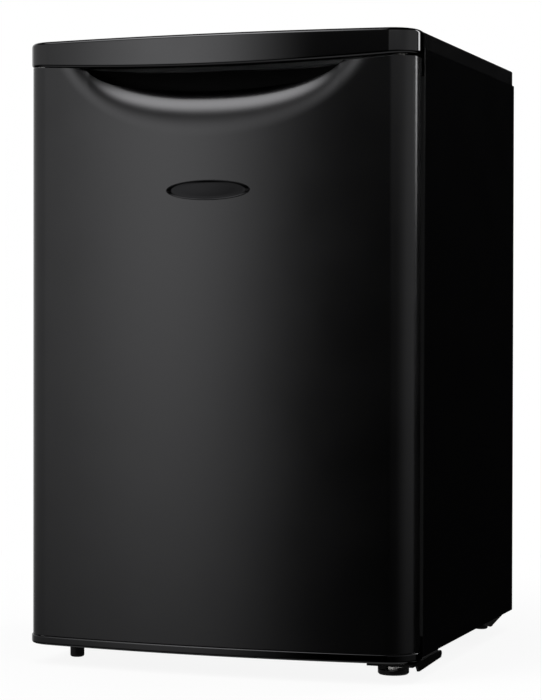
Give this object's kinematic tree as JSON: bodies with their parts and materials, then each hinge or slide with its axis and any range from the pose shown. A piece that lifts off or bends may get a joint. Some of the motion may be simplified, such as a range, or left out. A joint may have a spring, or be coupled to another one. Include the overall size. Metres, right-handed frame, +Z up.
{
  "type": "mini fridge",
  "caption": "Free-standing compact refrigerator with a bowed right-hinged door, a scoop handle under a curved worktop trim, levelling feet, racks, shelves and a compressor bay.",
  "frame": {"origin": "centre of the bounding box footprint, on the floor under the feet", "axes": "+X towards the hinge side, seen from the front; +Y from the door towards the back; +Z up"},
  "size_m": [0.45, 0.475, 0.6908],
  "materials": {
    "cabinet_paint": "satin",
    "galvanised_steel": "satin",
    "back_paint": "satin",
    "insulation_foam": "matte",
    "liner_plastic": "satin",
    "worktop_plastic": "satin",
    "trim_plastic": "satin",
    "door_finish": "satin",
    "gasket_rubber": "matte",
    "badge_metal": "polished",
    "clear_plastic": "gloss",
    "hinge_paint": "satin",
    "black_plastic": "satin",
    "bush_plastic": "satin",
    "bright_steel": "polished",
    "foot_rubber": "matte",
    "compressor_paint": "gloss",
    "copper": "satin",
    "shelf_glass": "polished",
    "shelf_trim": "satin",
    "evaporator_metal": "satin",
    "knob_plastic": "satin",
    "lamp_glass": "gloss"
  },
  "bodies": {
    "cabinet": {"back_panel": "back_paint", "back_panel_screws": "bright_steel", "base_pan": "galvanised_steel", "cabinet_insulation": "insulation_foam", "cabinet_liner": "liner_plastic", "compressor": "compressor_paint", "compressor_grommets": "foot_rubber", "compressor_tray": "galvanised_steel", "cord_gland": "black_plastic", "crisper_cover": "shelf_glass", "discharge_pipe": "copper", "drain_gutter": "liner_plastic", "drain_tube": "bush_plastic", "drip_tray": "black_plastic", "evaporator_plate": "evaporator_metal", "filter_drier": "copper", "foot_sockets": "bush_plastic", "front_rail": "cabinet_paint", "hinge_bolts": "bright_steel", "lamp_bulb": "lamp_glass", "lamp_lens": "clear_plastic", "lower_hinge_pin": "bright_steel", "lower_hinge_plate": "hinge_paint", "lower_hinge_spacer": "black_plastic", "lower_shelf_glass": "shelf_glass", "lower_shelf_trim": "shelf_trim", "rear_feet": "foot_rubber", "side_panel_left": "cabinet_paint", "side_panel_right": "cabinet_paint", "start_relay": "black_plastic", "suction_pipe": "copper", "thermostat_housing": "liner_plastic", "top_panel": "galvanised_steel", "upper_hinge_pin": "bright_steel", "upper_hinge_plate": "hinge_paint", "upper_shelf_glass": "shelf_glass", "upper_shelf_trim": "shelf_trim", "worktop": "worktop_plastic", "worktop_nose": "trim_plastic"},
    "door": {"door_skin": "door_finish", "door_top_cap": "door_finish", "door_bottom_cap": "trim_plastic", "door_liner": "liner_plastic", "door_insulation": "insulation_foam", "door_gasket": "gasket_rubber", "door_badge": "badge_metal", "upper_hinge_bush": "bush_plastic", "lower_hinge_bush": "bush_plastic"},
    "door_bin_lower": {"door_bin_lower": "clear_plastic"},
    "door_bin_middle": {"door_bin_middle": "clear_plastic"},
    "door_bin_upper": {"door_bin_upper": "clear_plastic"},
    "crisper": {"crisper_drawer": "clear_plastic"},
    "thermostat_knob": {"thermostat_knob": "knob_plastic"},
    "front_left_foot": {"front_left_foot": "black_plastic"},
    "front_right_foot": {"front_right_foot_pad": "black_plastic", "front_right_foot_stud": "bright_steel"}
  },
  "joints": [
    {"name": "door_hinge", "type": "hinge", "parent": "cabinet", "child": "door", "pos_m": [0.204, -0.195, 0.34], "axis": [0, 0, 1], "range_deg": [0, 115]},
    {"name": "lower_bin_lift", "type": "slide", "parent": "door", "child": "door_bin_lower", "axis": [0, 0, 1], "range_m": [0, 0.02]},
    {"name": "middle_bin_lift", "type": "slide", "parent": "door", "child": "door_bin_middle", "axis": [0, 0, 1], "range_m": [0, 0.02]},
    {"name": "upper_bin_lift", "type": "slide", "parent": "door", "child": "door_bin_upper", "axis": [0, 0, 1], "range_m": [0, 0.02]},
    {"name": "crisper_slide", "type": "slide", "parent": "cabinet", "child": "crisper", "axis": [0, -1, 0], "range_m": [0, 0.022]},
    {"name": "thermostat_turn", "type": "hinge", "parent": "cabinet", "child": "thermostat_knob", "pos_m": [-0.036, -0.029, 0.616], "axis": [0, -1, 0], "range_deg": [0, 270]},
    {"name": "left_foot_turn", "type": "hinge", "parent": "cabinet", "child": "front_left_foot", "pos_m": [-0.1905, -0.1525, 0.01], "axis": [0, 0, 1], "continuous": true},
    {"name": "right_foot_turn", "type": "hinge", "parent": "cabinet", "child": "front_right_foot", "pos_m": [0.1825, -0.146, 0.01], "axis": [0, 0, 1], "continuous": true}
  ]
}
